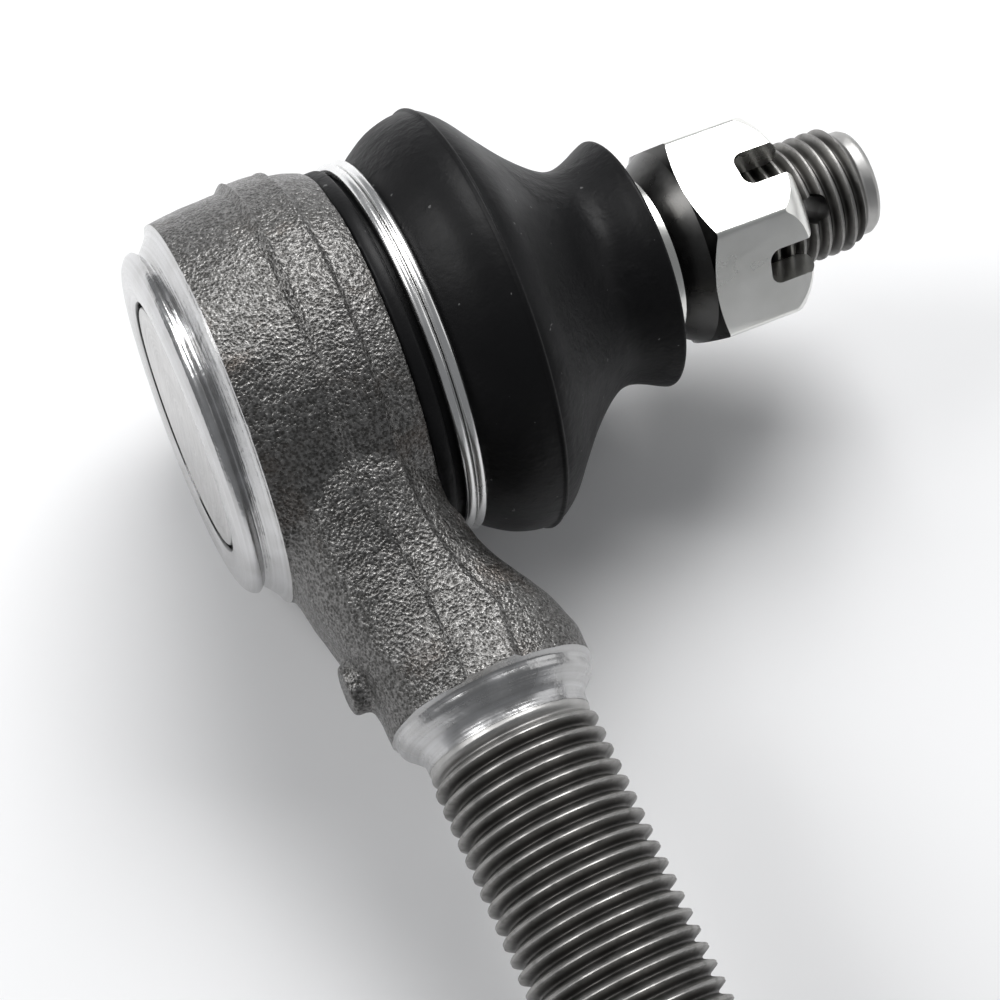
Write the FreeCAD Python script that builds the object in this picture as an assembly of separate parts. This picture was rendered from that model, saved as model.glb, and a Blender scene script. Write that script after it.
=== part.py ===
import FreeCAD
import Part

import math
import os

V = FreeCAD.Vector
X_AXIS = V(1, 0, 0)
SHANK_AXIS = V(0, -1, 0)

# Frame: origin at the ball centre, +X along the stud to its threaded end,
# -Y along the threaded shank, +Z up with the joint lying on its side. Millimetres.

# Ball stud: 7/16-20 UNF thread and a 1:8 taper on the diameter.
BALL_R = 10.0
BALL_FLAT_X = -8.8
NECK_R = 5.7
NECK_END_X = 11.6
TAPER_X0 = 15.0
TAPER_X1 = 29.2
TAPER_END_R = 5.80
TAPER_SLOPE = 1.0 / 16.0
STUD_THREAD_R = 5.556
STUD_END_X = 49.7
STUD_END_CHAMFER = 1.0
COTTER_X = 43.2
COTTER_R = 1.3
COTTER_ANGLE = 127.0

# Castle nut: 11/16 inch across flats, six slots.
NUT_X0 = 28.4
NUT_X1 = 41.5
NUT_FLATS = 17.46
NUT_CORNER_ANGLE = 116.5
NUT_SLOT_W = 3.3
NUT_SLOT_X = 36.7
NUT_BORE_R = 5.60
NUT_FOOT_X = 29.2
NUT_FOOT_R = 7.25
NUT_EDGE_X0 = 32.3
NUT_EDGE_X1 = 38.1

# Forged socket: head round the stud axis, neck, and shank with a 9/16-18 UNF thread.
LIP_FACE_X = -14.1
LIP_FACE_R = 12.2
LIP_INNER_R = 10.9
LIP_INNER_X = -13.85
LIP_R = 14.95
RIM_X = -10.85
RIM_R = 16.6
HEAD_R = 17.3
BAND_X0 = -4.4
BAND_X1 = -0.6
BAND_R = 17.55
MOUTH_RIM_X = 2.4
MOUTH_RIM_R = 16.7
CUFF_SEAT_R = 14.4
MOUTH_X = 7.6
MOUTH_BEAD_X = 6.8
MOUTH_BEAD_R = 14.75
RELIEF_R = 18.4
PLUG_BORE_R = 13.0
PLUG_LEDGE_X = -11.3
SEAT_BORE_R = 12.6
SHOULDER_X0 = 2.6
SHOULDER_X1 = 6.2
THROAT_R = 9.3
MOUTH_R = 10.5
SHANK_THREAD_R = 7.144
SHANK_BLANK_R = 6.9
SHANK_COLLAR_R = 8.3
SHANK_ROOT_Y = 29.0
COLLAR_Y = 31.6
COLLAR_CONE_Y = 33.5
THREAD_START_Y = 35.3
SHANK_END_Y = 92.0
SHANK_CHAMFER = 1.3
NUB_Y = 26.4
NUB_R = 2.2
NUB_X = -10.7

# Plug, spring and seats behind the ball.
PLUG_LAND_R = 10.6
PLUG_LAND_X = -13.75
PLUG_STEP_X = -12.9
SPRING_T = 0.5
SPRING_R0 = 5.0
SPRING_R1 = 11.5
SEAT_OUT_R = 12.55
SEAT_BALL_R = 10.03
LOWER_SEAT_X = -10.3
SEAT_HOLE_R = 3.4

# Rubber boot and what holds it.
CUFF_X0 = 2.45
CUFF_X1 = 6.2
CLIP_GROOVE_R = 15.65
WIRE_R = 0.46
CLIP_X = 4.45
CLIP_PITCH = 0.94
BOOT_R = 18.8
BOOT_MAX_X = 12.4
WAIST_R = 9.9
WAIST_X = 22.6
LIP_BEAD_R = 11.2
LIP_BEAD_X = 26.9
BOOT_END_X = 28.2
RING_X0 = 23.9
RING_X1 = 25.2
RING_R0 = 7.6
RING_R1 = 8.9


def taper_r(x):
    return TAPER_END_R + (TAPER_X1 - x) * TAPER_SLOPE


def sphere_r(x, radius):
    return math.sqrt(radius * radius - x * x)


def edges_of(steps):
    """Edges through (x, r) steps; ('arc', mid, end) bends, ('curve', points) is a smooth spline."""
    edges = []
    here = V(steps[0][0], steps[0][1], 0)
    for step in steps[1:]:
        if step[0] == "arc":
            mid = V(step[1][0], step[1][1], 0)
            end = V(step[2][0], step[2][1], 0)
            edges.append(Part.Arc(here, mid, end).toShape())
        elif step[0] == "curve":
            points = [here] + [V(p[0], p[1], 0) for p in step[1]]
            spline = Part.BSplineCurve()
            spline.interpolate(points)
            edges.append(spline.toShape())
            end = points[-1]
        else:
            end = V(step[0], step[1], 0)
            edges.append(Part.makeLine(here, end))
        here = end
    start = V(steps[0][0], steps[0][1], 0)
    if here.sub(start).Length > 1e-9:
        edges.append(Part.makeLine(here, start))
    return edges


def turned(steps):
    """Solid of revolution about the stud axis from a closed (x, r) profile."""
    face = Part.Face(Part.Wire(edges_of(steps)))
    solid = face.revolve(V(0, 0, 0), X_AXIS, 360)
    return solid


def ring_section(y, centre_x, half_x, half_z):
    """Rounded forging section across the shank at distance y from the ball centre."""
    points = []
    power = 0.86
    for i in range(24):
        a = 2 * math.pi * i / 24
        c = math.cos(a)
        s = math.sin(a)
        px = centre_x + half_x * math.copysign(abs(c) ** power, c)
        pz = half_z * math.copysign(abs(s) ** power, s)
        points.append(V(px, -y, pz))
    spline = Part.BSplineCurve()
    spline.interpolate(points, PeriodicFlag=True)
    return Part.Wire([spline.toShape()])


def head_blank():
    return turned([
        (LIP_FACE_X, 0),
        (LIP_FACE_X, 13.2),
        ("arc", (-13.85, 14.3), (-13.0, LIP_R)),
        (-12.35, 14.75),
        ("arc", (-11.45, 15.55), (RIM_X, RIM_R)),
        ("arc", (-7.7, 17.05), (BAND_X0, HEAD_R)),
        (BAND_X0 + 0.3, BAND_R),
        (BAND_X1 - 0.3, BAND_R),
        (BAND_X1, HEAD_R),
        ("arc", (1.1, 17.1), (MOUTH_RIM_X, MOUTH_RIM_R)),
        (MOUTH_RIM_X, CUFF_SEAT_R),
        (MOUTH_BEAD_X, CUFF_SEAT_R),
        (MOUTH_BEAD_X, MOUTH_BEAD_R),
        (MOUTH_X - 0.3, MOUTH_BEAD_R),
        (MOUTH_X, MOUTH_BEAD_R - 0.3),
        (MOUTH_X, 0),
    ])


def head_hollow():
    return turned([
        (LIP_FACE_X - 1, 0),
        (LIP_FACE_X - 1, LIP_FACE_R),
        (LIP_FACE_X, LIP_FACE_R),
        (LIP_INNER_X, LIP_INNER_R),
        (PLUG_STEP_X, LIP_INNER_R),
        (PLUG_STEP_X, PLUG_BORE_R),
        (PLUG_LEDGE_X, PLUG_BORE_R),
        (PLUG_LEDGE_X, SEAT_BORE_R),
        (SHOULDER_X0, SEAT_BORE_R),
        (SHOULDER_X1, THROAT_R),
        (MOUTH_X, MOUTH_R),
        (MOUTH_X + 1, MOUTH_R),
        (MOUTH_X + 1, 0),
    ])


def mouth_relief():
    """Room turned out of the neck for the boot's root."""
    return turned([
        (MOUTH_RIM_X, CUFF_SEAT_R),
        (MOUTH_RIM_X, RELIEF_R),
        (MOUTH_X, RELIEF_R),
        (MOUTH_X, MOUTH_BEAD_R + 0.1),
        (MOUTH_BEAD_X, MOUTH_BEAD_R + 0.1),
        (MOUTH_BEAD_X, CUFF_SEAT_R),
    ])


def neck():
    sections = [
        ring_section(11.5, -3.8, 7.1, 11.6),
        ring_section(17.2, -3.6, 7.2, 9.9),
        ring_section(20.0, -3.1, 7.3, 9.0),
        ring_section(23.0, -2.1, 7.7, 8.5),
        ring_section(26.5, -0.75, 8.4, 8.4),
        ring_section(29.5, 0.0, 8.6, 8.6),
        ring_section(COLLAR_Y, 0.0, 8.5, 8.5),
    ]
    return Part.makeLoft(sections, True, False)


def shank():
    profile = [
        V(0, -SHANK_ROOT_Y, 0),
        V(SHANK_COLLAR_R, -SHANK_ROOT_Y, 0),
        V(SHANK_COLLAR_R, -COLLAR_Y - 0.5, 0),
        V(SHANK_BLANK_R, -COLLAR_CONE_Y, 0),
        V(SHANK_BLANK_R, -THREAD_START_Y, 0),
        V(SHANK_THREAD_R, -THREAD_START_Y - 0.3, 0),
        V(SHANK_THREAD_R, -SHANK_END_Y + SHANK_CHAMFER, 0),
        V(SHANK_THREAD_R - SHANK_CHAMFER, -SHANK_END_Y, 0),
        V(0, -SHANK_END_Y, 0),
        V(0, -SHANK_ROOT_Y, 0),
    ]
    face = Part.Face(Part.makePolygon(profile))
    return face.revolve(V(0, 0, 0), SHANK_AXIS, 360)


def socket_housing():
    nub = Part.makeCylinder(NUB_R, 4.0, V(NUB_X, -NUB_Y, 0), X_AXIS)
    body = head_blank().fuse([neck(), shank(), nub])
    return body.cut([head_hollow(), mouth_relief()]).removeSplitter()


def ball_stud():
    neck_x = math.sqrt(BALL_R ** 2 - NECK_R ** 2)
    flat_r = sphere_r(BALL_FLAT_X, BALL_R)
    thread_x = TAPER_X1 + 0.5
    end_r = STUD_THREAD_R - STUD_END_CHAMFER
    body = turned([
        (BALL_FLAT_X, 0),
        (BALL_FLAT_X, flat_r),
        ("arc", (0, BALL_R), (neck_x, NECK_R)),
        (NECK_END_X, NECK_R),
        ("curve", [(13.4, 6.15), (TAPER_X0, taper_r(TAPER_X0))]),
        (TAPER_X1, TAPER_END_R),
        (thread_x, STUD_THREAD_R),
        (STUD_END_X - STUD_END_CHAMFER, STUD_THREAD_R),
        (STUD_END_X, end_r),
        (STUD_END_X, 0),
    ])
    angle = math.radians(COTTER_ANGLE)
    along = V(0, math.cos(angle), math.sin(angle))
    start = V(COTTER_X, 0, 0) - along * 10
    return body.cut(Part.makeCylinder(COTTER_R, 20, start, along))


def castle_nut():
    corner_r = NUT_FLATS / math.sqrt(3)
    corners = []
    for i in range(7):
        a = math.radians(NUT_CORNER_ANGLE + 60 * i)
        corners.append(V(NUT_X0, corner_r * math.cos(a), corner_r * math.sin(a)))
    prism = Part.Face(Part.makePolygon(corners)).extrude(V(NUT_X1 - NUT_X0, 0, 0))
    envelope = turned([
        (NUT_X0, 0),
        (NUT_X0, NUT_FOOT_R),
        (NUT_FOOT_X, NUT_FOOT_R),
        (NUT_EDGE_X0 - 0.8, 8.75),
        (NUT_EDGE_X0, corner_r + 0.1),
        (NUT_EDGE_X1, corner_r + 0.1),
        ("arc", (NUT_EDGE_X1 + 2.0, 9.2), (NUT_X1, 6.7)),
        (NUT_X1, 0),
    ])
    nut = prism.common(envelope)
    slots = []
    for i in range(3):
        slot = Part.makeBox(20, 30, NUT_SLOT_W, V(NUT_SLOT_X, -15, -NUT_SLOT_W / 2))
        slot.rotate(V(0, 0, 0), X_AXIS, NUT_CORNER_ANGLE + 30 + 60 * i)
        slots.append(slot)
    hole = turned([
        (NUT_X0 - 1, 0),
        (NUT_X0 - 1, NUT_BORE_R + 0.9),
        (NUT_X0, NUT_BORE_R + 0.9),
        (TAPER_X1 + 0.6, TAPER_END_R + 0.1),
        (TAPER_X1 + 0.9, NUT_BORE_R),
        (NUT_X1 + 1, NUT_BORE_R),
        (NUT_X1 + 1, 0),
    ])
    return nut.cut(slots + [hole])


def upper_seat():
    slope = (SEAT_BORE_R - THROAT_R) / (SHOULDER_X1 - SHOULDER_X0)
    end_x = 5.3
    start_x = 0.25
    corner_x = SHOULDER_X0 - 0.05
    mid_x = 3.0
    return turned([
        (start_x, sphere_r(start_x, SEAT_BALL_R)),
        (start_x, SEAT_OUT_R),
        (corner_x, SEAT_OUT_R),
        (end_x, SEAT_OUT_R - (end_x - corner_x) * slope),
        (end_x, sphere_r(end_x, SEAT_BALL_R)),
        ("arc", (mid_x, sphere_r(mid_x, SEAT_BALL_R)), (start_x, sphere_r(start_x, SEAT_BALL_R))),
    ])


def lower_seat():
    top_x = -0.25
    hole_x = -math.sqrt(SEAT_BALL_R ** 2 - SEAT_HOLE_R ** 2)
    mid_x = -6.0
    return turned([
        (top_x, SEAT_OUT_R),
        (-8.2, SEAT_OUT_R),
        (LOWER_SEAT_X, 10.5),
        (LOWER_SEAT_X, SEAT_HOLE_R),
        (hole_x, SEAT_HOLE_R),
        ("arc", (mid_x, sphere_r(mid_x, SEAT_BALL_R)), (top_x, sphere_r(top_x, SEAT_BALL_R))),
    ])


def preload_spring():
    seat_side = LOWER_SEAT_X - 0.05
    return turned([
        (seat_side, SPRING_R0),
        (seat_side - SPRING_T, SPRING_R0),
        (PLUG_LEDGE_X, SPRING_R1),
        (PLUG_LEDGE_X + SPRING_T, SPRING_R1),
    ])


def end_plug():
    return turned([
        (PLUG_LEDGE_X, 0),
        (PLUG_LEDGE_X, PLUG_BORE_R - 0.03),
        (PLUG_STEP_X, PLUG_BORE_R - 0.03),
        (PLUG_STEP_X, PLUG_LAND_R),
        (PLUG_LAND_X + 0.2, PLUG_LAND_R),
        (PLUG_LAND_X, PLUG_LAND_R - 0.2),
        (PLUG_LAND_X, 0),
    ])


def dust_boot():
    gap = 0.05
    return turned([
        (CUFF_X0, CUFF_SEAT_R + gap),
        (CUFF_X0, 16.2),
        (CUFF_X0 + 1.1, 16.2),
        (CUFF_X0 + 1.3, CLIP_GROOVE_R),
        (CUFF_X1, CLIP_GROOVE_R),
        ("curve", [(7.6, 16.9), (9.8, 18.1), (BOOT_MAX_X, BOOT_R), (13.8, 18.2),
                   (15.8, 16.0), (18.2, 13.2), (20.8, 10.9), (WAIST_X, WAIST_R),
                   (24.3, 10.15), (25.9, 10.8), (LIP_BEAD_X, LIP_BEAD_R)]),
        ("arc", (LIP_BEAD_X + 0.3, LIP_BEAD_R - 0.1), (LIP_BEAD_X + 0.4, LIP_BEAD_R - 0.35)),
        (BOOT_END_X, 8.6),
        (BOOT_END_X, taper_r(BOOT_END_X) + gap),
        (RING_X0, taper_r(RING_X0) + gap),
        (RING_X0, RING_R0 - gap),
        (RING_X1 + gap, RING_R0 - gap),
        (RING_X1 + gap, RING_R1 + gap),
        (RING_X0, RING_R1 + gap),
        (RING_X0 - 1.0, 8.45),
        ("curve", [(20.9, 9.1), (18.6, 11.3), (16.0, 14.1), (13.9, 16.3), (BOOT_MAX_X, 16.9),
                   (10.3, 16.5), (8.9, 15.7)]),
        (MOUTH_BEAD_X - 0.1, 15.1),
        (MOUTH_BEAD_X - 0.1, CUFF_SEAT_R + gap),
    ])


def boot_clip():
    radius = CLIP_GROOVE_R + 0.05 + WIRE_R
    turns = [Part.makeTorus(radius, WIRE_R, V(CLIP_X + i * CLIP_PITCH, 0, 0), X_AXIS) for i in range(2)]
    return Part.makeCompound(turns)


def boot_lip_ring():
    return turned([
        (RING_X0 + 0.1, RING_R0),
        (RING_X0 + 0.1, RING_R1),
        (RING_X1, RING_R1),
        (RING_X1, RING_R0),
    ])


NODES = {
    "socket_housing": socket_housing,
    "end_plug": end_plug,
    "preload_spring": preload_spring,
    "lower_seat": lower_seat,
    "upper_seat": upper_seat,
    "ball_stud": ball_stud,
    "castle_nut": castle_nut,
    "dust_boot": dust_boot,
    "boot_clip": boot_clip,
    "boot_lip_ring": boot_lip_ring,
}

os.makedirs("parts", exist_ok=True)
for name, make in NODES.items():
    shape = make()
    box = shape.optimalBoundingBox()
    print(name, shape.ShapeType, shape.isValid(), round(shape.Volume, 1),
          [round(v, 2) for v in (box.XMin, box.XMax, box.YMin, box.YMax, box.ZMin, box.ZMax)])
    shape.exportStep("parts/" + name + ".step")
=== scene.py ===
import math

import bmesh
import bpy
from mathutils import Matrix, Vector, noise


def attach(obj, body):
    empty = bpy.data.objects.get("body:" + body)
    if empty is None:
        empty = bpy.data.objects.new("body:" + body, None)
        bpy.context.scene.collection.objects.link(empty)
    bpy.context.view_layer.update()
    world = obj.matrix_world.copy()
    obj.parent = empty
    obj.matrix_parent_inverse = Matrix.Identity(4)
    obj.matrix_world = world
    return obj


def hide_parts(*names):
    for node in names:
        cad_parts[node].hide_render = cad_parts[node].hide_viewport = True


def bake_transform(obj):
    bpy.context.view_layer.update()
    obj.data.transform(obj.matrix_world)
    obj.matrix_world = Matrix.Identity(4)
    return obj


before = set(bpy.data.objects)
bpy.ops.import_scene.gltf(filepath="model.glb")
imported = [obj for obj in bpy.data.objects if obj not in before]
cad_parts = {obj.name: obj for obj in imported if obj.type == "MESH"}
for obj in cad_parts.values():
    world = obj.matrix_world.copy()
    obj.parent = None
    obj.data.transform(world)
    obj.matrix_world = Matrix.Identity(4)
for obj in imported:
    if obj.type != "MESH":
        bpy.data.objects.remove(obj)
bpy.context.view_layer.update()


# ---------------------------------------------------------------------------
# Socket forging. One steel forging: round head, neck and shank. The skin is
# shot-blasted and grainy; the end rim, the boot seat, the bore and the collar
# are turned bright, and the shank carries a rolled 9/16-18 right-hand thread.

MM = 0.001
STUD_LINE = Vector((1, 0, 0))
SHANK_LINE = Vector((0, -1, 0))


class Flow:
    """A shader value. Sums and products of these add their own Math nodes."""

    def __init__(self, tree, socket):
        self.tree = tree
        self.socket = socket

    def node(self, kind, settings=None, inputs=None, out=0):
        made = self.tree.nodes.new(kind)
        for name, value in (settings or {}).items():
            setattr(made, name, value)
        for name, value in (inputs or {}).items():
            target = made.inputs[name]
            if isinstance(value, Flow):
                self.tree.links.new(value.socket, target)
            elif isinstance(value, tuple) and len(value) == 3 and target.type == "RGBA":
                target.default_value = (*value, 1)
            else:
                target.default_value = value
        return Flow(self.tree, made.outputs[out])

    def sum_of(self, operation, *values):
        return self.node("ShaderNodeMath", {"operation": operation}, dict(enumerate(values)))

    def __add__(self, other):
        return self.sum_of("ADD", self, other)

    __radd__ = __add__

    def __mul__(self, other):
        return self.sum_of("MULTIPLY", self, other)

    __rmul__ = __mul__

    def __pow__(self, other):
        return self.sum_of("POWER", self, other)

    def between(self, low, high, to_low=0.0, to_high=1.0):
        inputs = {"Value": self, "From Min": low, "From Max": high, "To Min": to_low, "To Max": to_high}
        return self.node("ShaderNodeMapRange", {"interpolation_type": "SMOOTHSTEP"}, inputs)

    def tint(self, first, second):
        """Colour that goes from first to second as this value goes from 0 to 1."""
        return self.node("ShaderNodeMix", {"data_type": "RGBA"}, {0: self, 6: first, 7: second}, out=2)


def finish_of(name, metallic=1.0, specular=0.5):
    """A new material, its surface shader and the place on the piece."""
    made = bpy.data.materials.new(name)
    made.use_nodes = True
    tree = made.node_tree
    shader = next(n for n in tree.nodes if n.type == "BSDF_PRINCIPLED")
    shader.inputs["Metallic"].default_value = metallic
    shader.inputs["Specular IOR Level"].default_value = specular
    place = tree.nodes.new("ShaderNodeTexCoord").outputs["Object"]
    return made, shader, Flow(tree, place)


def grain(place, scale, detail=2.0, rough=0.5, stretch=None):
    """Soft noise from 0 to 1; scale is in bumps per metre."""
    if stretch:
        place = place.node("ShaderNodeVectorMath", {"operation": "MULTIPLY"}, {0: place, 1: stretch})
    return place.node("ShaderNodeTexNoise", None,
                      {"Vector": place, "Scale": scale, "Detail": detail, "Roughness": rough})


def paint(shader, colour=None, roughness=None, bumps=()):
    """Joins the shader up: colour, roughness and a chain of (height, strength, distance) bumps."""
    tree = shader.id_data
    for name, value in (("Base Color", colour), ("Roughness", roughness)):
        if isinstance(value, Flow):
            tree.links.new(value.socket, shader.inputs[name])
        elif value is not None:
            shader.inputs[name].default_value = (*value, 1) if isinstance(value, tuple) else value
    normal = None
    for height, strength, distance in bumps:
        inputs = {"Height": height, "Strength": strength, "Distance": distance}
        if normal is not None:
            inputs["Normal"] = normal
        normal = height.node("ShaderNodeBump", None, inputs)
    if normal is not None:
        tree.links.new(normal.socket, shader.inputs["Normal"])


def axial(place, across="yz"):
    """Distance of the place from the stud line (yz) or from the shank line (xz)."""
    split = place.tree.nodes.new("ShaderNodeSeparateXYZ")
    place.tree.links.new(place.socket, split.inputs[0])
    first = Flow(place.tree, split.outputs["XYZ".index(across[0].upper())])
    second = Flow(place.tree, split.outputs["XYZ".index(across[1].upper())])
    along = Flow(place.tree, split.outputs["X" if across == "yz" else "Y"])
    return (first * first + second * second) ** 0.5, along


def turned_marks(place, across="yz", along_scale=3600.0, out_scale=3600.0):
    """Lathe lines: noise that only changes along the axis and outwards from it."""
    out, along = axial(place, across)
    vector = place.node("ShaderNodeCombineXYZ", None, {0: along * along_scale, 1: out * out_scale})
    return place.node("ShaderNodeTexNoise", None, {"Vector": vector, "Scale": 1.0, "Detail": 2.0})


def blasted_skin():
    made, shader, place = finish_of("blasted_forging_skin", metallic=0.9)
    coarse = grain(place, 2600, 2.0, 0.5)
    fine = grain(place, 6500, 2.0, 0.55)
    dimples = place.node("ShaderNodeTexVoronoi", {"feature": "SMOOTH_F1"},
                         {"Vector": place, "Scale": 3600.0, "Smoothness": 0.35})
    cloud = grain(place, 150, 4.0, 0.6)
    relief = coarse * 0.7 + dimples * 0.6 + fine * 0.5
    dark = relief.between(0.66, 1.16).tint((0.068, 0.066, 0.063), (0.225, 0.221, 0.216))
    rust = cloud.between(0.52, 0.72, 0.0, 0.45)
    colour = rust.tint(dark, (0.115, 0.09, 0.074))
    rough = fine.between(0.35, 0.65, 0.40, 0.24)
    paint(shader, colour, rough, [(relief, 0.9, 0.00015), (cloud, 0.6, 0.0008)])
    return made


def turned_steel(name="turned_steel", shade=0.62, rough=0.2, across="yz", painted_shade_radii=None):
    """Lathe-turned steel with light wear; painted shade turns it near black inside a radius, given from and to.
    """
    made, shader, place = finish_of(name)
    lines = turned_marks(place, across)
    wear = grain(place, 420, 4.0)
    low = (shade * 0.78, shade * 0.775, shade * 0.77)
    colour = (lines * 0.5 + wear * 0.5).between(0.35, 0.65).tint(low, (shade, shade, shade * 1.01))
    if painted_shade_radii:
        # Painted shade: near black nearer the line than the given radii.
        colour = axial(place, across)[0].between(*painted_shade_radii).tint((0.02, 0.02, 0.02), colour)
    roughness = wear.between(0.3, 0.7, rough * 0.85, rough * 1.35)
    paint(shader, colour, roughness, [(lines, 0.6, 0.00006), (wear, 0.5, 0.00025)])
    return made


def rolled_thread(name, across, root, crest, bare=None):
    """Thread steel: painted shade makes it dark in the root, grading to satin on the crest, and it turns
    brighter along bare (from, to).
    """
    made, shader, place = finish_of(name)
    out, along = axial(place, across)
    smear = grain(place, 900, 4.0)
    # Painted shade: dark in the thread's root, lighter towards the crest.
    flank = out.between(root, crest).tint((0.085, 0.082, 0.078), (0.32, 0.314, 0.304))
    colour = smear.between(0.45, 0.75, 0.0, 0.5).tint(flank, (0.13, 0.127, 0.122))
    if bare:
        colour = along.between(*bare).tint(colour, (0.46, 0.455, 0.445))
    paint(shader, colour, smear.between(0.3, 0.7, 0.4, 0.55), [(smear, 0.3, 0.00005)])
    return made


def outline(bm, points, axis_first=True):
    """Vertices and edges of a half section; points are (along, out) in millimetres."""
    if axis_first:
        verts = [bm.verts.new((a * MM, 0, r * MM)) for a, r in points]
    else:
        verts = [bm.verts.new((0, -a * MM, r * MM)) for a, r in points]
    edges = [bm.edges.new(pair) for pair in zip(verts, verts[1:])]
    return verts + edges


def rounded(points, steps=5):
    """Replaces (along, out, radius) corners by short arcs; other points stay as they are."""
    made = []
    count = len(points)
    for i, point in enumerate(points):
        if len(point) == 2 or i in (0, count - 1):
            made.append(point[:2])
            continue
        here = Vector(point[:2])
        back = Vector(points[i - 1][:2]) - here
        on = Vector(points[i + 1][:2]) - here
        half = back.angle(on) / 2
        reach = min(point[2] / math.tan(half), back.length * 0.49, on.length * 0.49)
        start = here + back.normalized() * reach
        end = here + on.normalized() * reach
        for k in range(steps + 1):
            t = k / steps
            made.append(tuple(start * (1 - t) ** 2 + here * 2 * t * (1 - t) + end * t ** 2))
    return made


def smooth_line(knots, per_span=6):
    """Points on a smooth curve through the knots."""
    made = []
    for i in range(len(knots) - 1):
        p0 = Vector(knots[max(i - 1, 0)])
        p1 = Vector(knots[i])
        p2 = Vector(knots[i + 1])
        p3 = Vector(knots[min(i + 2, len(knots) - 1)])
        for k in range(per_span):
            t = k / per_span
            bend = (p2 - p0) * t
            bend += (2 * p0 - 5 * p1 + 4 * p2 - p3) * t ** 2
            bend += (3 * p1 - p0 - 3 * p2 + p3) * t ** 3
            made.append(tuple(p1 + bend / 2))
    made.append(tuple(knots[-1]))
    return made


def spun(bm, points, steps=160, on_shank=False, closed=True):
    """Turns a section all the way round the stud line, or round the shank line."""
    geom = outline(bm, points, not on_shank)
    verts = [g for g in geom if isinstance(g, bmesh.types.BMVert)]
    if closed:
        geom.append(bm.edges.new((verts[-1], verts[0])))
    axis = SHANK_LINE if on_shank else STUD_LINE
    bmesh.ops.spin(bm, geom=geom, cent=(0, 0, 0), axis=axis, angle=math.tau, steps=steps, use_merge=True)
    bmesh.ops.remove_doubles(bm, verts=bm.verts[:], dist=0.001 * MM)


def shaded(mesh, sharp):
    """Smooth faces, with crisp edges where they turn by more than sharp degrees."""
    mesh.polygons.foreach_set("use_smooth", [True] * len(mesh.polygons))
    mesh.set_sharp_from_angle(angle=math.radians(sharp))


def piece(bm, name, materials, sharp=35.0, outward=True, finish=0):
    """Turns the work into an object; finish says which of the materials all its faces get."""
    if outward:
        bmesh.ops.recalc_face_normals(bm, faces=bm.faces[:])
    for f in bm.faces:
        f.material_index = finish
    mesh = bpy.data.meshes.new(name)
    bm.to_mesh(mesh)
    bm.free()
    for material in materials:
        mesh.materials.append(material)
    shaded(mesh, sharp)
    made = bpy.data.objects.new(name, mesh)
    bpy.context.scene.collection.objects.link(made)
    return made


def fitted(target, tool, operation):
    """Cuts the tool out of the target, or adds it, and throws the tool away."""
    step = target.modifiers.new("step", "BOOLEAN")
    step.operation = operation
    step.object = tool
    step.solver = "EXACT"
    settle(target)
    bpy.data.objects.remove(tool)


def settle(target):
    """Applies the object's modifiers to its mesh."""
    graph = bpy.context.evaluated_depsgraph_get()
    graph.update()
    mesh = bpy.data.meshes.new_from_object(target.evaluated_get(graph), depsgraph=graph)
    target.modifiers.clear()
    old = target.data
    target.data = mesh
    mesh.name = old.name
    bpy.data.meshes.remove(old)


def screw(bm, major, depth, pitch, start, end, blank, on_shank, chamfer, nose=0.0, seg=64):
    """A right-hand thread, faded in at its start, with a chamfer and a plain nose at its end."""
    flank = [(0.0, 1.0), (0.07, 0.95), (0.15, 0.80), (0.33, 0.24), (0.38, 0.08), (0.42, 0.01), (0.46, 0.02),
             (0.50, 0.05), (0.54, 0.02), (0.58, 0.01), (0.62, 0.08), (0.67, 0.24), (0.85, 0.80), (0.93, 0.95),
             (1.0, 1.0)]
    fade_turns = 0.9
    chamfer_slope = 0.6
    chamfer_start = 0.35
    turns = math.ceil((end - start) / pitch) + 3
    section = [((start + (f - 1.5) * pitch), major - d * depth) for f, d in flank]
    geom = outline(bm, section, not on_shank)
    axis = SHANK_LINE if on_shank else STUD_LINE
    step = axis * (pitch * MM)
    bmesh.ops.spin(bm, geom=geom, cent=(0, 0, 0), axis=axis, dvec=step / seg, angle=math.tau, steps=seg)
    one_turn = bm.verts[:] + bm.edges[:] + bm.faces[:]
    for turn in range(1, turns):
        copy = bmesh.ops.duplicate(bm, geom=one_turn)["geom"]
        bmesh.ops.translate(bm, verts=[g for g in copy if isinstance(g, bmesh.types.BMVert)], vec=step * turn)
    bmesh.ops.remove_doubles(bm, verts=bm.verts[:], dist=2e-6)
    for v in bm.verts:
        along = v.co.dot(axis)
        out = v.co - axis * along
        radius = out.length
        far = along / MM
        fade = min(max((far - start) / (fade_turns * pitch), 0.0), 1.0)
        fade = fade * fade * (3 - 2 * fade)
        wanted = blank + (radius / MM - blank) * fade
        tip = chamfer_slope * max(far - end + chamfer_start, 0.0)
        wanted = min(wanted, major - chamfer + max(end - nose - far, 0.0) - tip) * MM
        v.co = axis * along + out * (wanted / radius)
    for cut, keep_below in ((end, True), (start - 0.5 * pitch, False)):
        bmesh.ops.bisect_plane(bm, geom=bm.verts[:] + bm.edges[:] + bm.faces[:], plane_co=axis * cut * MM,
                               plane_no=axis, clear_outer=keep_below, clear_inner=not keep_below)
    rims = [e for e in bm.edges if e.is_boundary]
    bmesh.ops.holes_fill(bm, edges=rims, sides=0)


def ring_of(bm, y, centre, half_x, half_z, squareness, segments=64):
    """One section of the neck across the shank, squared a little as the dies leave it."""
    lay = Matrix.Translation((centre * MM, -y * MM, 0)) @ Matrix.Rotation(math.pi / 2, 4, "X")
    made = bmesh.ops.create_circle(bm, segments=segments, radius=MM, matrix=lay)["verts"]
    for v in made:
        x = (v.co.x - centre * MM) / MM
        z = v.co.z / MM
        v.co.x = (centre + half_x * math.copysign(abs(x) ** squareness, x)) * MM
        v.co.z = half_z * math.copysign(abs(z) ** squareness, z) * MM
    return [e for e in bm.edges if e.verts[0] in made and e.verts[1] in made]


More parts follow.
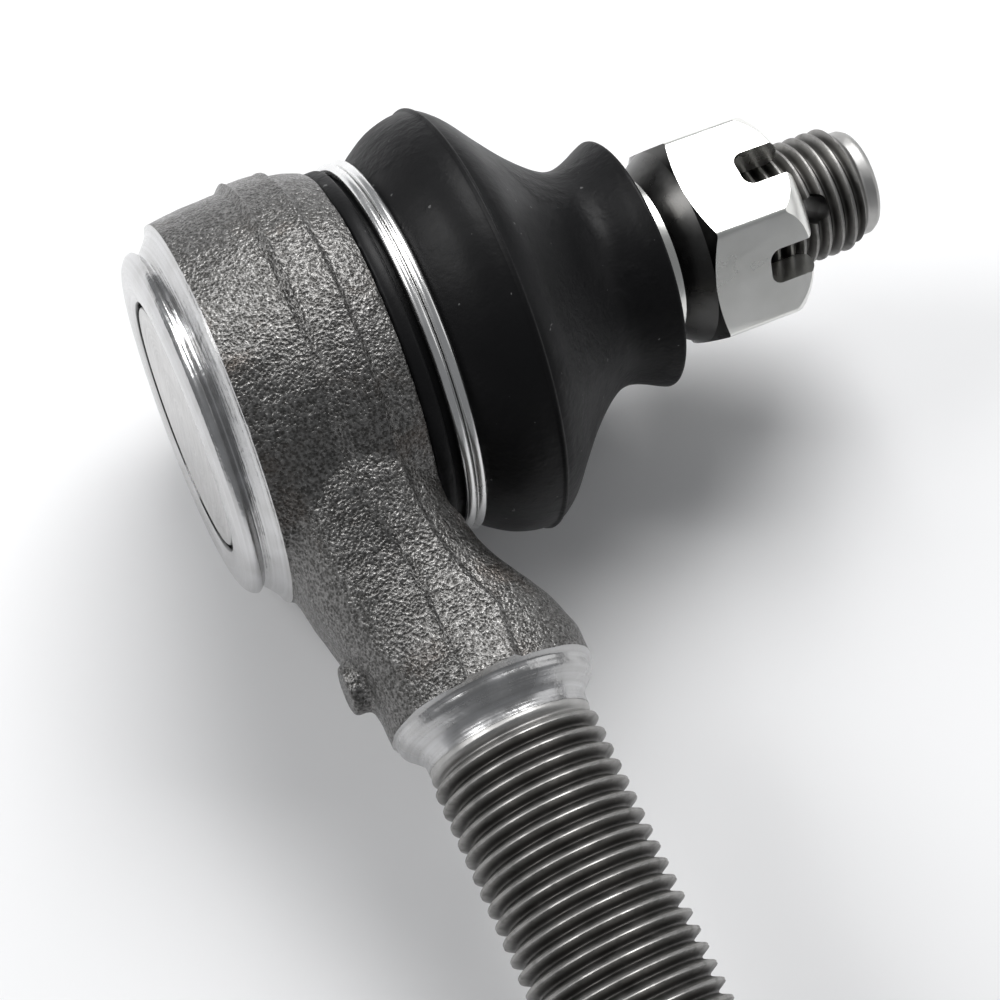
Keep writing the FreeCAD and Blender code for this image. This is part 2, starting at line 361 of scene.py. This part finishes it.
def lofted(bm, sections):
    """Skins neighbouring sections, each (y, centre, half_x, half_z, squareness), and caps the two ends."""
    rings = [ring_of(bm, *section) for section in sections]
    for near, far in zip(rings, rings[1:]):
        bmesh.ops.bridge_loops(bm, edges=near + far)
    for rim in (rings[0], rings[-1]):
        bmesh.ops.holes_fill(bm, edges=rim, sides=0)


def forged_blank():
    """Head, neck and nub as rough overlapping stock, melted into one skin with a trim band."""
    bm = bmesh.new()
    head_line = [(-16.5, 0), (-16.5, 16.0), (-13.0, 16.35), (-10.85, 16.66), (-8.0, 17.05), (-4.45, 17.3),
                 (-2.5, 17.33), (-0.6, 17.27), (1.0, 17.05), (2.5, 16.6), (3.0, 15.4), (9.0, 15.2), (9.0, 0)]
    spun(bm, head_line, 144, closed=False)
    lofted(bm, [(9.0, -4.0, 7.4, 12.6, 0.9), (14.0, -3.8, 7.3, 11.4, 0.88), (17.2, -3.6, 7.25, 9.9, 0.84),
                (20.0, -3.1, 7.3, 9.0, 0.80), (23.0, -2.1, 7.7, 8.5, 0.78), (26.5, -0.75, 8.4, 8.35, 0.80),
                (29.5, 0.0, 8.65, 8.5, 0.86), (31.9, 0.1, 8.75, 8.75, 0.97), (35.6, 0.0, 8.8, 8.8, 1.0)])
    nub = Matrix.Translation((-8.6 * MM, -26.5 * MM, 0)) @ Matrix.Rotation(math.pi / 2, 4, "Y")
    bmesh.ops.create_cone(bm, cap_ends=True, segments=40, radius1=2.35 * MM, radius2=2.05 * MM, depth=3.5 * MM,
                          matrix=nub @ Matrix.Rotation(math.pi, 4, "X"))
    blank = piece(bm, "socket_forging", FORGING_FINISHES)
    melt = blank.modifiers.new("melt", "REMESH")
    melt.mode = "VOXEL"
    melt.voxel_size = 0.3 * MM
    melt.adaptivity = 0.0
    settle(blank)
    bm = bmesh.new()
    bm.from_mesh(blank.data)
    neck_root = [v for v in bm.verts if 12.5 * MM < -v.co.y < 22.0 * MM and abs(v.co.x) < 12.5 * MM]
    for verts, rounds in ((neck_root, 9), (bm.verts[:], 2)):
        for i in range(rounds):
            bmesh.ops.smooth_vert(bm, verts=verts, factor=0.5, use_axis_x=True, use_axis_y=True, use_axis_z=True)
    bm.normal_update()
    band_left = [(-20, -4.4), (9, -4.5), (14, -4.7), (20, -3.4), (25, -2.8), (36, -2.5)]
    band_right = [(-20, -0.6), (17, -0.4), (20.5, 0.0), (24, 1.0), (27, 2.2), (30, 1.8), (36, 1.3)]
    step_height, ridge_height, ramp = 0.34, 0.26, 0.35
    for v in bm.verts:
        x, y = v.co.x / MM, -v.co.y / MM
        left, right = (next(x0 + (x1 - x0) * (y - y0) / (y1 - y0) for (y0, x0), (y1, x1) in zip(line, line[1:])
                            if y <= y1) for line in (band_left, band_right))
        inside = min(max((x - left) / ramp + 0.5, 0.0), 1.0) * min(max((right - x) / ramp + 0.5, 0.0), 1.0)
        ridge = max(1 - abs(x - left - ramp) / 0.4, 0.0) + 0.6 * max(1 - abs(right - ramp - x) / 0.4, 0.0)
        swell = noise.noise(v.co * 260) * 0.11 + noise.noise(v.co * 900) * 0.05
        band = (step_height * inside + ridge_height * ridge) * (1 - abs(v.normal.x))
        v.co += v.normal * (swell + band) * MM
    bm.to_mesh(blank.data)
    bm.free()
    return blank


def cutting_tool(points, finish, steps=144, on_shank=False):
    """A turned cutter that leaves its finish on what it cuts."""
    bm = bmesh.new()
    spun(bm, points, steps, on_shank, closed=not (points[0][1] == 0 and points[-1][1] == 0))
    return piece(bm, "cutting_tool", FORGING_FINISHES, finish=finish)


SKIN = blasted_skin()
# Painted shade: near black inside 11 mm of the stud line, on the lip's inner edge by the plug's gap.
TURNED = turned_steel(painted_shade_radii=(10.95 * MM, 11.1 * MM))
COLLAR = turned_steel("turned_collar", 0.55, 0.26, "xz")
SHANK_THREAD = rolled_thread("rolled_shank_thread", "xz", 6.45 * MM, 7.1 * MM, (-37.0 * MM, -35.3 * MM))
FORGING_FINISHES = [SKIN, TURNED, COLLAR, SHANK_THREAD]
TURNED_FINISH, COLLAR_FINISH, THREAD_FINISH = 1, 2, 3

forging = forged_blank()
swaged_end = smooth_line([(-10.85, 16.62), (-11.2, 15.95), (-11.7, 15.3), (-12.2, 14.75), (-12.45, 14.6),
                          (-12.85, 14.95), (-13.2, 14.93), (-13.6, 14.6), (-13.92, 14.0), (-14.08, 13.2),
                          (-14.1, 12.4), (-14.03, 11.7), (-13.9, 11.2), (-13.75, 10.98), (-13.4, 10.9)], 4)
bore_line = [(-12.9, 10.9), (-12.9, 13.0), (-11.3, 13.0), (-11.3, 12.6), (2.6, 12.6), (6.2, 9.3), (7.6, 10.5),
             (9.5, 10.5), (9.5, 0.0)]
clearance = [(-20.0, 0.0), (-20.0, 17.7), (-11.3, 17.7)]
fitted(forging, cutting_tool(clearance + swaged_end + bore_line, TURNED_FINISH), "DIFFERENCE")
boot_seat = [(2.4, 18.4), (2.4, 14.4), (6.8, 14.4), (6.8, 14.75), (7.3, 14.75), (7.6, 14.45), (7.6, 8.0),
             (12.0, 8.0), (12.0, 18.4)]
fitted(forging, cutting_tool(boot_seat, TURNED_FINISH), "DIFFERENCE")
collar_line = smooth_line([(31.2, 9.6), (31.8, 8.6), (32.05, 8.36), (32.75, 8.26), (33.2, 7.85), (33.7, 7.35),
                           (34.2, 7.0), (34.8, 6.9), (35.1, 6.9)], 4)
collar_cut = [(35.2, 0.0), (35.2, 6.9)] + collar_line[::-1] + [(31.3, 16.0), (40.0, 16.0), (40.0, 0.0)]
fitted(forging, cutting_tool(collar_cut, COLLAR_FINISH, 128, True), "DIFFERENCE")

bm = bmesh.new()
screw(bm, major=7.144, depth=0.86, pitch=25.4 / 18, start=35.3, end=92.0, blank=6.87, on_shank=True, chamfer=1.3)
fitted(forging, piece(bm, "shank_thread", FORGING_FINISHES, finish=THREAD_FINISH), "UNION")
shaded(forging.data, 50)
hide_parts("socket_housing")
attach(forging, "housing")


# ---------------------------------------------------------------------------
# End plug. A pressed steel disc that closes the head behind the ball. The
# head's edge is rolled over its rim, so a thin dark gap shows round its face.

def satin_plug():
    made, shader, place = finish_of("satin_plug_face")
    lines = turned_marks(place, out_scale=5200.0)
    stretched = grain(place, 900, 3.0, 0.6, (0.3, 3.0, 0.35))
    smear = grain(place, 130, 4.0)
    mix = lines * 0.4 + stretched * 0.35 + smear * 0.25
    colour = mix.between(0.3, 0.7).tint((0.44, 0.435, 0.43), (0.66, 0.655, 0.65))
    # Painted shade: the plug goes near black beyond 10.48 mm, filling the gap under the rolled lip.
    colour = axial(place)[0].between(10.3 * MM, 10.48 * MM).tint(colour, (0.02, 0.02, 0.02))
    paint(shader, colour, smear.between(0.3, 0.7, 0.3, 0.46),
          [(lines, 0.25, 0.00004), (stretched, 0.25, 0.00004)])
    return made


plug_line = rounded([(-11.3, 0.0), (-11.3, 12.97, 0.3), (-12.88, 12.97, 0.2), (-12.88, 10.5, 0.1),
                     (-13.75, 10.5, 0.22), (-13.75, 9.6), (-13.72, 6.0), (-13.7, 2.0), (-13.69, 0.0)], 4)
bm = bmesh.new()
spun(bm, plug_line, 144, closed=False)
plug = piece(bm, "end_plug_disc", [satin_plug()], 40)
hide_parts("end_plug")
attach(plug, "housing")


# ---------------------------------------------------------------------------
# Preload spring and boot lip ring. A coned disc spring pushes the lower seat
# against the ball, and a flat ring stiffens the boot's lip; both oiled steel.

# Steel with an oil film's patchy tone; with near-black tones it also gives the nut foot's painted shade.
def oiled_steel_and_painted_shade(name, dark_tone, light_tone):
    made, shader, place = finish_of(name)
    lines = turned_marks(place)
    tone_patches = grain(place, 260, 4.0)
    colour = tone_patches.between(0.3, 0.7).tint(dark_tone, light_tone)
    paint(shader, colour, tone_patches.between(0.3, 0.7, 0.22, 0.4), [(lines, 0.2, 0.00003)])
    return made


OILED = oiled_steel_and_painted_shade("oiled_spring_steel", (0.16, 0.15, 0.14), (0.36, 0.36, 0.38))
for node in ("preload_spring", "boot_lip_ring"):
    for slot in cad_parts[node].material_slots:
        slot.material = OILED


# ---------------------------------------------------------------------------
# Ball seats. Two moulded acetal rings between the ball and the head: the
# upper one bears on the head's shoulder, the lower one on the spring.

def natural_acetal():
    made, shader, place = finish_of("natural_acetal", metallic=0.0)
    flow = grain(place, 180, 3.0)
    fine = grain(place, 2600, 2.0)
    colour = flow.between(0.3, 0.7).tint((0.74, 0.72, 0.66), (0.86, 0.85, 0.80))
    paint(shader, colour, flow.between(0.3, 0.7, 0.34, 0.46), [(fine, 0.15, 0.00003)])
    return made


ACETAL = natural_acetal()
for node in ("upper_seat", "lower_seat"):
    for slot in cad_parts[node].material_slots:
        slot.material = ACETAL


# ---------------------------------------------------------------------------
# Ball stud. Ball, neck, ground 1:8 taper and 7/16-20 thread in one piece of
# alloy steel. The thread end is chamfered and cross-drilled for a split pin.

def ground_taper():
    made, shader, place = finish_of("ground_taper")
    lines = turned_marks(place, along_scale=7000.0)
    smear = grain(place, 500, 3.0)
    colour = (lines * 0.6 + smear * 0.4).between(0.3, 0.7).tint((0.56, 0.56, 0.565), (0.74, 0.74, 0.745))
    paint(shader, colour, smear.between(0.3, 0.7, 0.12, 0.24), [(lines, 0.2, 0.00002)])
    return made


GROUND = ground_taper()
STUD_THREAD = rolled_thread("rolled_stud_thread", "yz", 4.95 * MM, 5.5 * MM, (48.1 * MM, 48.5 * MM))
bm = bmesh.new()
ball_line = [(-8.8, 0.0), (-8.8, 4.4)]
ball_turns = [math.radians(28.8 + (145.25 - 28.8) * k / 30) for k in range(31)]
ball_line += [(-10 * math.cos(t), 10 * math.sin(t)) for t in ball_turns]
ball_line += smooth_line([(8.5, 5.7), (11.6, 5.7), (13.3, 6.1), (15.0, 6.69), (18.0, 6.5)], 5)
ball_line += rounded([(20.0, 6.375), (29.2, 5.8, 0.25), (29.7, 5.3), (30.4, 5.3), (30.4, 0.0)], 4)
spun(bm, ball_line, 128, closed=False)
stud = piece(bm, "ball_stud_turned", [GROUND, STUD_THREAD], 40)
bm = bmesh.new()
screw(bm, major=5.556, depth=0.78, pitch=25.4 / 20, start=30.0, end=49.7, blank=5.3, on_shank=False,
      chamfer=0.8, nose=1.35, seg=72)
fitted(stud, piece(bm, "stud_thread", [GROUND, STUD_THREAD], finish=1), "UNION")
bm = bmesh.new()
pin_turn = math.radians(127)
pin_line = Vector((0, math.cos(pin_turn), math.sin(pin_turn)))
pin_lay = Matrix.Translation((43.2 * MM, 0, 0)) @ pin_line.to_track_quat("Z", "Y").to_matrix().to_4x4()
pin_radius = 1.3 * MM
bmesh.ops.create_cone(bm, cap_ends=True, segments=48, radius1=pin_radius, radius2=pin_radius, depth=16 * MM,
                      matrix=pin_lay)
fitted(stud, piece(bm, "pin_drill", [GROUND, STUD_THREAD], finish=1), "DIFFERENCE")
shaded(stud.data, 50)
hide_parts("ball_stud")
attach(stud, "stud")


# ---------------------------------------------------------------------------
# Dust boot. Moulded black rubber: a root cuff in the head's groove, a round
# bulge with the mould's flash line, a waist, and a flared lip on the taper.

def moulded_rubber():
    made, shader, place = finish_of("moulded_rubber", metallic=0.0, specular=0.16)
    fine = grain(place, 5200, 2.0)
    scuff = grain(place, 95, 5.0, 0.65)
    specks = grain(place, 1500, 1.0)
    smear = scuff.between(0.5, 0.8, 0.0, 0.6)
    colour = smear.tint((0.0045, 0.0045, 0.005), (0.013, 0.013, 0.014))
    colour = specks.between(0.77, 0.80).tint(colour, (0.09, 0.09, 0.09))
    crinkle = grain(place, 620, 3.0, 0.55, (1.0, 2.2, 0.8))
    worn = scuff.between(0.48, 0.62)
    paint(shader, colour, scuff.between(0.3, 0.75, 0.40, 0.58),
          [(fine, 0.18, 0.00004), (crinkle * worn, 0.22, 0.0004), (scuff, 0.3, 0.0005)])
    return made


RUBBER = moulded_rubber()
outer = [(2.5, 14.5), (2.5, 16.0), (2.6, 16.25), (2.85, 16.38), (3.6, 16.4), (3.82, 16.3), (3.9, 16.1),
         (3.92, 15.66), (4.5, 15.64), (5.3, 15.66), (5.9, 15.72)]
outer += smooth_line([(5.9, 15.72), (6.4, 16.0), (7.6, 16.95), (9.2, 17.95), (10.8, 18.5), (12.1, 18.68)], 6)[1:]
outer += [(12.2, 18.7), (12.3, 18.86), (12.42, 18.9), (12.54, 18.86), (12.64, 18.68)]
outer += smooth_line([(12.64, 18.68), (13.4, 18.3), (14.6, 17.3), (16.4, 15.2), (18.4, 13.0), (20.4, 11.2),
                      (22.0, 10.15), (23.2, 9.85), (24.3, 10.02), (25.4, 10.45), (26.2, 10.85),
                      (26.85, 11.15)], 6)[1:]
outer += [(27.0, 11.2), (27.12, 11.18), (27.22, 11.08), (27.28, 10.92)]
outer += smooth_line([(27.28, 10.92), (27.5, 10.2), (27.85, 9.2), (28.15, 8.0), (28.15, 6.2)], 4)[1:]
inner = [(28.0, 5.93), (24.0, 6.18), (23.9, 7.5), (25.25, 7.55), (25.25, 8.95), (23.9, 8.95), (22.9, 8.45)]
inner += smooth_line([(22.9, 8.45), (20.9, 9.2), (18.6, 11.3), (16.2, 13.9), (14.1, 16.1), (12.4, 16.8),
                      (10.3, 16.4), (8.9, 15.7), (6.7, 15.1)], 5)[1:]
inner += [(6.7, 14.46)]
bm = bmesh.new()
spun(bm, outer + inner, 176)
boot = piece(bm, "rubber_dust_boot", [RUBBER], 60)
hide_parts("dust_boot")
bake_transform(boot)


# ---------------------------------------------------------------------------
# Boot clip. Bright drawn spring wire wound twice round the boot's root, its
# ends lying flat against the turns on the underside of the head.

def drawn_wire():
    made, shader, place = finish_of("bright_drawn_wire")
    lines = turned_marks(place)
    smear = grain(place, 240, 2.0)
    colour = smear.between(0.3, 0.7).tint((0.76, 0.76, 0.755), (0.84, 0.84, 0.835))
    paint(shader, colour, smear.between(0.3, 0.7, 0.22, 0.28), [(lines, 0.08, 0.00002)])
    return made


bm = bmesh.new()
wire_start = Matrix.Rotation(math.radians(-62), 4, "X") @ Matrix.Translation((4.45 * MM, 16.16 * MM, 0))
start_ring = bmesh.ops.create_circle(bm, segments=20, radius=0.46 * MM, matrix=wire_start)["verts"]
bmesh.ops.spin(bm, geom=start_ring + bm.edges[:], cent=(0, 0, 0), axis=STUD_LINE,
               dvec=STUD_LINE * (0.94 * MM / 144), angle=math.tau * 1.97, steps=284)
bmesh.ops.holes_fill(bm, edges=[e for e in bm.edges if e.is_boundary], sides=0)
clip = piece(bm, "boot_clip_wire", [drawn_wire()], 50)
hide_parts("boot_clip")
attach(clip, "housing")


# ---------------------------------------------------------------------------
# Castle nut. Zinc plated hexagon nut, 11/16 inch across flats, with six slots
# for a split pin. Both ends are chamfered; it is run down to the boot's lip.

def zinc_plate():
    made, shader, place = finish_of("satin_zinc_plate")
    cloud = grain(place, 240, 4.0)
    fine = grain(place, 3800, 2.0)
    colour = cloud.between(0.3, 0.7).tint((0.76, 0.76, 0.73), (0.82, 0.82, 0.795))
    paint(shader, colour, cloud.between(0.3, 0.7, 0.27, 0.31), [(fine, 0.12, 0.00003)])
    return made


ZINC = zinc_plate()
flats = 17.46 * MM
nut_start, nut_height = 28.4, 13.1
slot_width, slot_middle = 3.3, 46.7
bm = bmesh.new()
upright = Matrix.Rotation(math.radians(116.5), 4, "X") @ Matrix.Rotation(math.pi / 2, 4, "Y")
bmesh.ops.create_circle(bm, cap_ends=True, segments=6, radius=flats / math.sqrt(3),
                        matrix=Matrix.Translation((nut_start * MM, 0, 0)) @ upright)
grown = bmesh.ops.extrude_face_region(bm, geom=bm.faces[:])["geom"]
raised = [g for g in grown if isinstance(g, bmesh.types.BMVert)]
bmesh.ops.translate(bm, verts=raised, vec=STUD_LINE * nut_height * MM)
hexagon_edges = [e for e in bm.edges if abs(e.verts[0].co.x - e.verts[1].co.x) > 10 * MM]
bmesh.ops.bevel(bm, geom=hexagon_edges, offset=0.32 * MM, segments=4, profile=0.5, affect="EDGES", material=-1)
nut = piece(bm, "castle_nut_zinc", [ZINC], 21)
chamfer_line = rounded([(28.4, 0.0), (28.4, 7.25, 0.2), (29.2, 7.25), (31.5, 8.75), (32.3, 10.2),
                        (38.1, 10.2)], 3)
chamfer_line += smooth_line([(38.1, 10.2), (39.2, 9.75), (40.1, 9.2), (40.9, 8.4), (41.35, 7.5),
                             (41.5, 6.7)], 4)[1:]
chamfer_line += [(41.5, 0.0)]
bm = bmesh.new()
spun(bm, chamfer_line, 120, closed=False)
fitted(nut, piece(bm, "chamfer_form", [ZINC]), "INTERSECT")
for i in range(3):
    bm = bmesh.new()
    lay = Matrix.Rotation(math.radians(146.5 + 60 * i), 4, "X") @ Matrix.Translation((slot_middle * MM, 0, 0))
    bmesh.ops.create_cube(bm, size=1.0, matrix=lay @ Matrix.Diagonal((20 * MM, 30 * MM, slot_width * MM, 1)))
    corners = [e for e in bm.edges if all(v.co.x < 40 * MM for v in e.verts) and e.calc_length() > 20 * MM]
    bmesh.ops.bevel(bm, geom=corners, offset=1.0 * MM, segments=6, profile=0.5, affect="EDGES", material=-1)
    fitted(nut, piece(bm, "slot_saw", [ZINC]), "DIFFERENCE")
bm = bmesh.new()
spun(bm, [(27.0, 0.0), (27.0, 6.5), (28.4, 6.5), (29.8, 5.9), (30.1, 5.6), (40.8, 5.6), (41.5, 6.1), (43.0, 6.1),
          (43.0, 0.0)], 96, closed=False)
fitted(nut, piece(bm, "nut_bore", [ZINC]), "DIFFERENCE")
bm = bmesh.new()
bm.from_mesh(nut.data)
bmesh.ops.remove_doubles(bm, verts=bm.verts[:], dist=0.01 * MM)
bmesh.ops.dissolve_limit(bm, angle_limit=math.radians(0.5), verts=bm.verts[:], edges=bm.edges[:])
# Painted shade: the foot's cone faces take a near-black second material, standing in for the dark boot reflected
# there.
for f in bm.faces:
    middle = f.calc_center_median()
    if 29.25 * MM < middle.x < 32.35 * MM and f.normal.x < -0.3:
        f.material_index = 1
bm.to_mesh(nut.data)
bm.free()
# That second material is the painted shade: near-black steel on the foot's cone.
nut.data.materials.append(oiled_steel_and_painted_shade("nut_foot_painted_shade", (0.045, 0.044, 0.042), (0.10, 0.099, 0.097)))
shaded(nut.data, 21)
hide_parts("castle_nut")
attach(nut, "stud")


# ---------------------------------------------------------------------------
# Studio: a pale bench, soft light boxes and the camera.

def bench_white():
    made, shader, _ = finish_of("bench_white", metallic=0.0, specular=0.2)
    paint(shader, (0.86, 0.86, 0.865), 0.6)
    return made


bench_top = -18.95 * MM
bm = bmesh.new()
bmesh.ops.create_grid(bm, x_segments=1, y_segments=1, size=1.5, matrix=Matrix.Translation((0, 0, bench_top)))
bench = piece(bm, "bench", [bench_white()], outward=False)


def light_box(name, place, aim, width, height, power):
    data = bpy.data.lights.new(name, "AREA")
    data.shape = "RECTANGLE"
    data.size = width
    data.size_y = height
    data.energy = power
    box = bpy.data.objects.new(name, data)
    box.location = place
    box.rotation_euler = (Vector(aim) - Vector(place)).to_track_quat("-Z", "Y").to_euler()
    bpy.context.scene.collection.objects.link(box)


light_box("overhead", (0.165, 0.255, 0.39), (0.01, -0.01, 0), 0.32, 0.24, 2.35)
light_box("left_window", (-0.36, 0.22, 0.36), (0, 0, 0), 0.24, 0.24, 1.55)
light_box("right_fill", (0.45, -0.05, 0.22), (0, 0, 0), 0.25, 0.35, 0.25)

world = bpy.data.worlds.new("pale_room")
world.use_nodes = True
backdrop = world.node_tree.nodes["Background"]
backdrop.inputs["Color"].default_value = (0.9, 0.92, 0.95, 1)
backdrop.inputs["Strength"].default_value = 0.24
bpy.context.scene.world = world

lens = bpy.data.cameras.new("camera")
camera = bpy.data.objects.new("camera", lens)
right = Vector((0.90970087, -0.4099314, 0.06633678))
up = Vector((0.35305104, 0.8475852, 0.39617457))
back = right.cross(up)
turn = Matrix((right, up, back)).transposed()
camera.matrix_world = Matrix.Translation((-0.032175, -0.077628, 0.167332)) @ turn.to_4x4()
lens.sensor_width = 36
lens.lens = 79.6644
lens.clip_start = 0.01
bpy.context.scene.collection.objects.link(camera)
bpy.context.scene.camera = camera
bpy.context.scene.view_settings.view_transform = "Standard"
